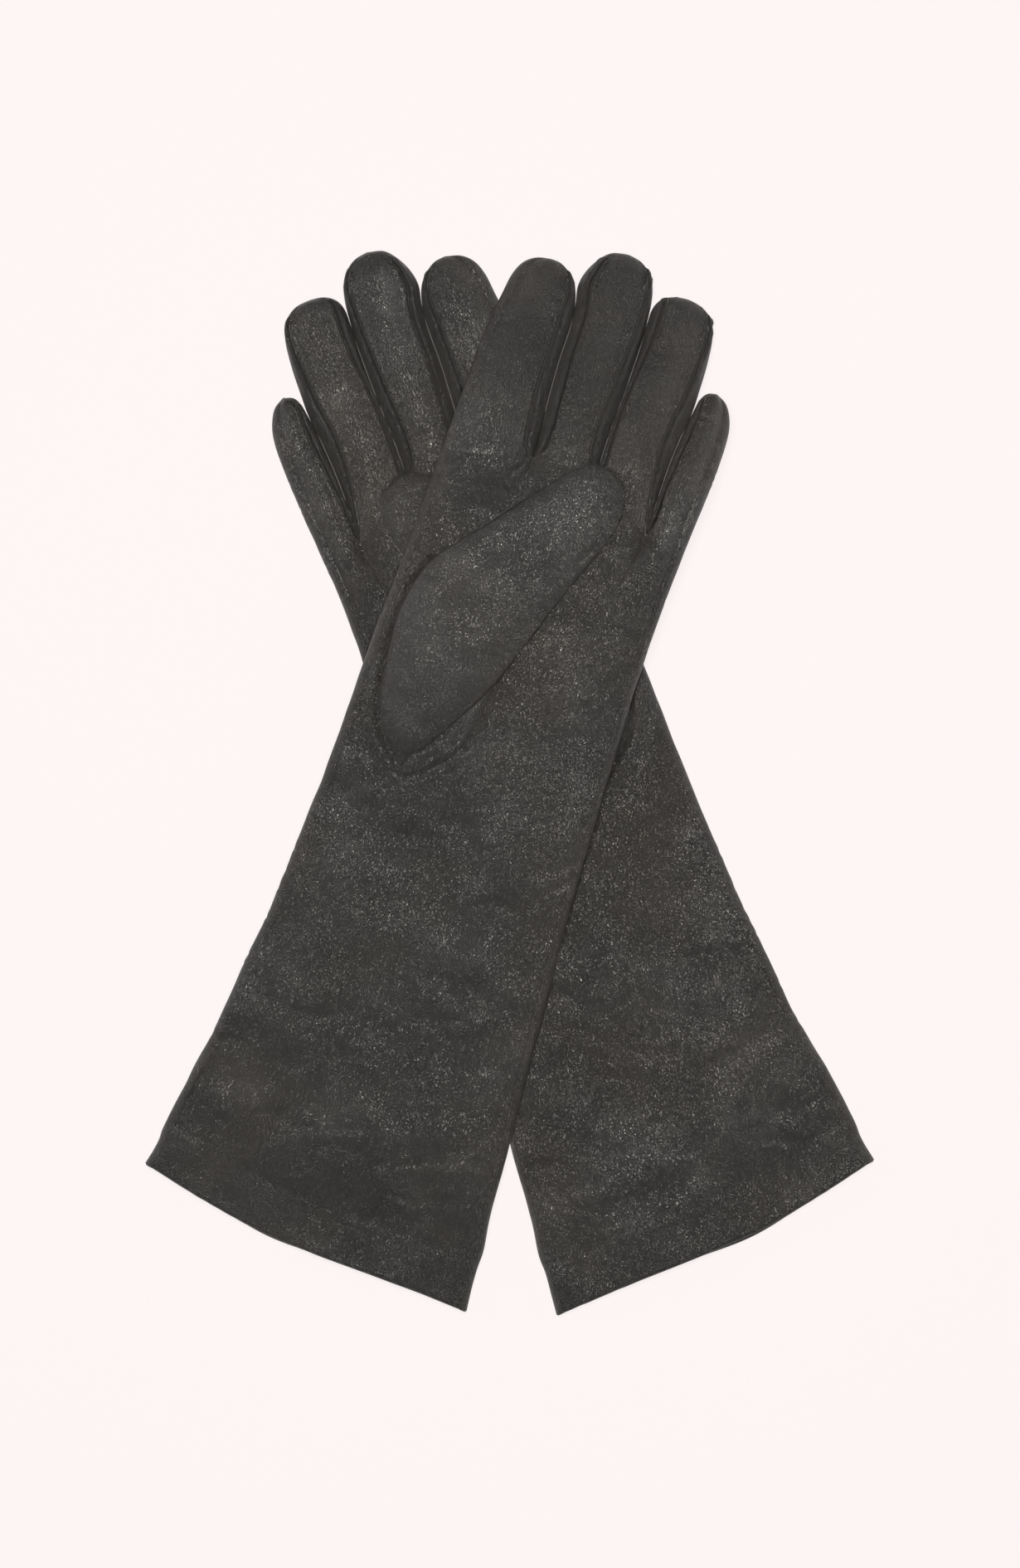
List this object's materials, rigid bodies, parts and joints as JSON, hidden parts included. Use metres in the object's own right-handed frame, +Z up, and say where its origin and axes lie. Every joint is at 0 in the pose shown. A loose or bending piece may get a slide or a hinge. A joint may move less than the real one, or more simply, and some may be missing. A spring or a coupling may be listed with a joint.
{
  "type": "pair of leather dress gloves",
  "caption": "Pair of long leather dress gloves lying crossed with both palms up, thumbs folded over the palms and turned-in cuff hems.",
  "frame": {"origin": "under the middle of the pair, on the table that it lies on", "axes": "+Z up out of the palms, +Y towards the fingertips, +X towards the cuff of the lower, right glove"},
  "size_m": [0.2428, 0.3598, 0.0304],
  "materials": {
    "leather": "smooth black nappa with a soft sheen",
    "lining": "fine black knitted silk lining",
    "thread": "black waxed sewing thread"
  },
  "bodies": {
    "right_hand": {"right_trank": "leather", "right_hand_lining": "lining", "right_cuff_hem": "leather", "right_thumb_gusset": "leather", "right_thumb_seam_thread": "thread", "right_side_seam_thread": "thread", "right_thumb_base": "leather", "right_thumb_base_lining": "lining", "right_thumb": "leather", "right_thumb_lining": "lining", "right_index_finger": "leather", "right_index_fourchette": "leather", "right_index_lining": "lining", "right_index_seam_thread": "thread"},
    "left_hand": {"left_trank": "leather", "left_hand_lining": "lining", "left_cuff_hem": "leather", "left_thumb_gusset": "leather", "left_thumb_seam_thread": "thread", "left_side_seam_thread": "thread", "left_thumb_base": "leather", "left_thumb_base_lining": "lining"},
    "left_thumb": {"left_thumb": "leather", "left_thumb_lining": "lining"},
    "left_index": {"left_index_finger": "leather", "left_index_fourchette": "leather", "left_index_lining": "lining", "left_index_seam_thread": "thread"},
    "left_middle": {"left_middle_finger": "leather", "left_middle_inner_fourchette": "leather", "left_middle_outer_fourchette": "leather", "left_middle_lining": "lining", "left_middle_seam_thread": "thread"},
    "left_ring": {"left_ring_finger": "leather", "left_ring_inner_fourchette": "leather", "left_ring_outer_fourchette": "leather", "left_ring_lining": "lining", "left_ring_seam_thread": "thread"},
    "left_little": {"left_little_finger": "leather", "left_little_fourchette": "leather", "left_little_lining": "lining", "left_little_seam_thread": "thread"},
    "right_middle": {"right_middle_finger": "leather", "right_middle_inner_fourchette": "leather", "right_middle_outer_fourchette": "leather", "right_middle_lining": "lining", "right_middle_seam_thread": "thread"},
    "right_ring": {"right_ring_finger": "leather", "right_ring_inner_fourchette": "leather", "right_ring_outer_fourchette": "leather", "right_ring_lining": "lining", "right_ring_seam_thread": "thread"},
    "right_little": {"right_little_finger": "leather", "right_little_fourchette": "leather", "right_little_lining": "lining", "right_little_seam_thread": "thread"}
  },
  "joints": [
    {"name": "left_glove_lift", "type": "slide", "parent": "right_hand", "child": "left_hand", "axis": [0, 0, 1], "range_m": [0, 0.15]},
    {"name": "left_index_fold", "type": "hinge", "parent": "left_hand", "child": "left_index", "pos_m": [-0.00285, 0.12556, 0.02504], "axis": [0.9107, -0.413, -0.0058], "range_deg": [0, 90]},
    {"name": "left_middle_fold", "type": "hinge", "parent": "left_hand", "child": "left_middle", "pos_m": [0.02083, 0.11482, 0.02489], "axis": [0.9107, -0.413, -0.0058], "range_deg": [0, 90]},
    {"name": "left_ring_fold", "type": "hinge", "parent": "left_hand", "child": "left_ring", "pos_m": [0.04101, 0.10567, 0.02476], "axis": [0.9107, -0.413, -0.0058], "range_deg": [0, 90]},
    {"name": "left_little_fold", "type": "hinge", "parent": "left_hand", "child": "left_little", "pos_m": [0.05826, 0.09785, 0.02465], "axis": [0.9107, -0.413, -0.0058], "range_deg": [0, 90]},
    {"name": "right_middle_fold", "type": "hinge", "parent": "right_hand", "child": "right_middle", "pos_m": [-0.02647, 0.11334, 0.007], "axis": [0.9011, 0.4337, 0], "range_deg": [0, 60]},
    {"name": "right_ring_fold", "type": "hinge", "parent": "right_hand", "child": "right_ring", "pos_m": [-0.04645, 0.10373, 0.007], "axis": [0.9011, 0.4337, 0], "range_deg": [0, 90]},
    {"name": "right_little_fold", "type": "hinge", "parent": "right_hand", "child": "right_little", "pos_m": [-0.06351, 0.09552, 0.007], "axis": [0.9011, 0.4337, 0], "range_deg": [0, 90]},
    {"name": "left_thumb_fold", "type": "hinge", "parent": "left_hand", "child": "left_thumb", "pos_m": [-0.01064, 0.05612, 0.02768], "axis": [0.7069, -0.707, -0.022], "range_deg": [0, 140]}
  ]
}
